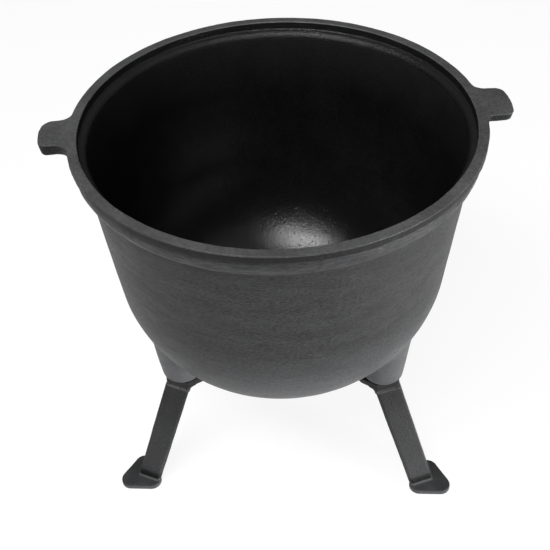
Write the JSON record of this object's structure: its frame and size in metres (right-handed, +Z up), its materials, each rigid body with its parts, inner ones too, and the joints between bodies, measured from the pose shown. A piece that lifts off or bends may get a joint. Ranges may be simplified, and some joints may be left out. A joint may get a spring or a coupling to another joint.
{
  "type": "footed cauldron",
  "caption": "Deep round cast iron cooking pot with a stepped rim and lug handles, standing on splayed angle-section legs bolted under bosses on its belly.",
  "frame": {"origin": "on the pot's axis at the level of the floor, the plane that the three feet stand on", "axes": "+Z up along the pot's axis, X through the two lugs, +Y toward the rear leg"},
  "size_m": [0.363, 0.3422, 0.367],
  "materials": {
    "enamelled_iron": "sand-cast iron under thin black enamel, satin outside and glossy inside",
    "black_cast_iron": "sand-cast iron, matt black",
    "blackened_steel": "blackened, dull"
  },
  "bodies": {
    "root": {"pot_body": "enamelled_iron", "leg_front_left": "black_cast_iron", "leg_front_right": "black_cast_iron", "leg_rear": "black_cast_iron", "bolt_front_left": "blackened_steel", "bolt_front_right": "blackened_steel", "bolt_rear": "blackened_steel", "washer_front_left": "blackened_steel", "washer_front_right": "blackened_steel", "washer_rear": "blackened_steel", "spring_washer_front_left": "blackened_steel", "spring_washer_front_right": "blackened_steel", "spring_washer_rear": "blackened_steel"}
  },
  "joints": []
}
